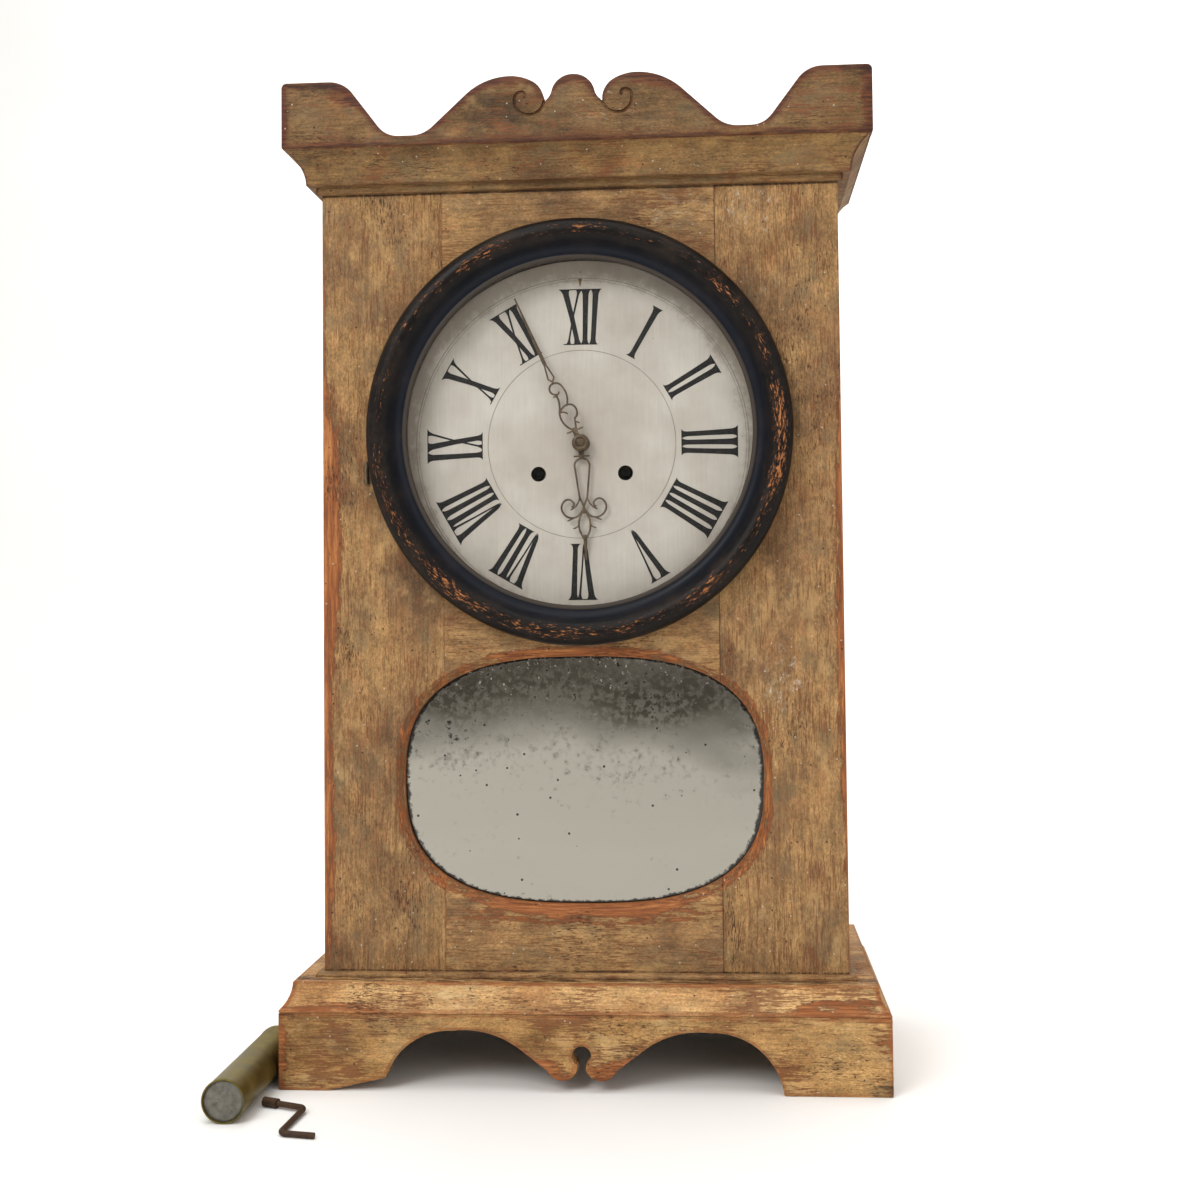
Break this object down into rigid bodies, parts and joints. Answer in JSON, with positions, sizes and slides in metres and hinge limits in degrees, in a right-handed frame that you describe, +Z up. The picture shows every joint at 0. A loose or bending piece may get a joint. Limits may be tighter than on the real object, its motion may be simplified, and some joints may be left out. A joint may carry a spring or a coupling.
{
  "type": "clock cupboard",
  "caption": "Painted pine clock case with a round glazed dial door, an oval looking glass, a scrolled crest and a shaped plinth, with its movement, driving weights and winding crank.",
  "frame": {"origin": "on the floor, in the middle of the plinth's footprint (the loose weight and crank beside it left out)", "axes": "+Z up, +X to the viewer's right facing the dial, the front faces -Y"},
  "size_m": [0.6245, 0.4047, 0.9735],
  "materials": {
    "painted_pine": "worn matt paint",
    "bare_pine": "bare aged wood",
    "black_painted_wood": "worn gloss paint",
    "clear_glass": "clear",
    "looking_glass": "aged silvering",
    "painted_dial_sheet": "matt",
    "tarnished_brass": "tarnished",
    "movement_brass": "satin",
    "steel": "satin",
    "bell_brass": "satin",
    "weight_brass": "dull",
    "gut_line": "matt",
    "dark_iron": "rusted"
  },
  "bodies": {
    "case": {"side_left": "painted_pine", "side_right": "painted_pine", "top_board": "bare_pine", "bottom_board": "bare_pine", "back_board": "bare_pine", "back_screws": "steel", "stile_left": "painted_pine", "stile_right": "painted_pine", "rail_top": "painted_pine", "rail_middle": "painted_pine", "rail_bottom": "painted_pine", "cornice_front": "painted_pine", "cornice_left": "painted_pine", "cornice_right": "painted_pine", "crest_board": "painted_pine", "glue_blocks": "bare_pine", "base_strip": "painted_pine", "base_moulding_front": "painted_pine", "base_moulding_left": "painted_pine", "base_moulding_right": "painted_pine", "plinth_front": "painted_pine", "plinth_left": "painted_pine", "plinth_right": "painted_pine", "plinth_back": "bare_pine", "mirror_plate": "looking_glass", "mirror_backboard": "bare_pine", "case_hinge_leaf": "tarnished_brass", "hinge_pin": "steel", "dial": "painted_dial_sheet", "seat_board": "bare_pine", "seat_cheeks": "bare_pine", "front_plate": "movement_brass", "back_plate": "movement_brass", "pendulum_cock": "movement_brass", "bell": "bell_brass", "bell_post": "steel"},
    "round_door": {"bezel_ring": "black_painted_wood", "bezel_glass": "clear_glass", "glazing_ring": "black_painted_wood", "bezel_hinge_strap": "tarnished_brass", "bezel_catch": "tarnished_brass"},
    "minute_hand": {"cannon_pinion": "steel", "minute_hand": "tarnished_brass", "hand_nut": "tarnished_brass"},
    "centre_arbor": {"centre_arbor": "steel"},
    "hour_train": {"hour_wheel": "movement_brass", "hour_hand": "tarnished_brass"},
    "minute_wheel": {"minute_wheel": "movement_brass"},
    "going_barrel": {"going_barrel": "movement_brass"},
    "strike_barrel": {"strike_barrel": "movement_brass"},
    "third_arbor": {"third_arbor": "steel"},
    "escape_arbor": {"escape_arbor": "steel"},
    "pendulum": {"anchor_and_crutch": "steel", "pendulum_rod": "steel", "pendulum_bob": "movement_brass"},
    "hammer": {"hammer": "steel"},
    "going_weight": {"going_weight": "weight_brass", "going_line": "gut_line"},
    "strike_weight": {"strike_weight": "weight_brass"},
    "winding_crank": {"winding_crank": "dark_iron"}
  },
  "joints": [
    {"name": "door_hinge", "type": "hinge", "parent": "case", "child": "round_door", "pos_m": [-0.211, -0.1046, 0.592], "axis": [0, 0, -1], "range_deg": [0, 100]},
    {"name": "minute_hand_turn", "type": "hinge", "parent": "case", "child": "minute_hand", "pos_m": [0, -0.03, 0.62], "axis": [0, 1, 0], "continuous": true},
    {"name": "hour_hand_turn", "type": "hinge", "parent": "case", "child": "hour_train", "pos_m": [0, -0.03, 0.62], "axis": [0, 1, 0], "continuous": true},
    {"name": "minute_wheel_turn", "type": "hinge", "parent": "case", "child": "minute_wheel", "pos_m": [0, -0.03, 0.6488], "axis": [0, 1, 0], "continuous": true},
    {"name": "going_barrel_turn", "type": "hinge", "parent": "case", "child": "going_barrel", "pos_m": [0.0435, -0.03, 0.5905], "axis": [0, 1, 0], "continuous": true},
    {"name": "centre_turn", "type": "hinge", "parent": "case", "child": "centre_arbor", "pos_m": [0, -0.03, 0.62], "axis": [0, 1, 0], "continuous": true},
    {"name": "third_turn", "type": "hinge", "parent": "case", "child": "third_arbor", "pos_m": [0.02482, -0.03, 0.64083], "axis": [0, 1, 0], "continuous": true},
    {"name": "escape_turn", "type": "hinge", "parent": "case", "child": "escape_arbor", "pos_m": [0, -0.03, 0.65195], "axis": [0, 1, 0], "continuous": true},
    {"name": "strike_barrel_turn", "type": "hinge", "parent": "case", "child": "strike_barrel", "pos_m": [-0.0435, -0.03, 0.5905], "axis": [0, 1, 0], "continuous": true},
    {"name": "pendulum_swing", "type": "hinge", "parent": "case", "child": "pendulum", "pos_m": [0, -0.03, 0.68], "axis": [0, 1, 0], "range_deg": [-3, 3]},
    {"name": "hammer_swing", "type": "hinge", "parent": "case", "child": "hammer", "pos_m": [-0.052, -0.03, 0.7], "axis": [0, 1, 0], "range_deg": [-15, 2], "stiffness_Nm_per_rad": 0.05},
    {"name": "going_weight_drop", "type": "slide", "parent": "case", "child": "going_weight", "axis": [0, 0, 1], "range_m": [-0.15, 0], "deforming": ["going_line"]},
    {"name": "strike_weight_lift", "type": "slide", "parent": "case", "child": "strike_weight", "axis": [0, 0, 1], "range_m": [0, 0.3]},
    {"name": "winding_crank_lift", "type": "slide", "parent": "case", "child": "winding_crank", "axis": [0, 0, 1], "range_m": [0, 0.3]}
  ],
  "couplings": [
    {"joint": "hour_hand_turn", "follows": "minute_hand_turn", "ratio": 0.083333},
    {"joint": "minute_wheel_turn", "follows": "minute_hand_turn", "ratio": -1},
    {"joint": "third_turn", "follows": "escape_turn", "ratio": -0.13333},
    {"joint": "centre_turn", "follows": "escape_turn", "ratio": 0.016667},
    {"joint": "going_barrel_turn", "follows": "escape_turn", "ratio": -0.0013889}
  ]
}
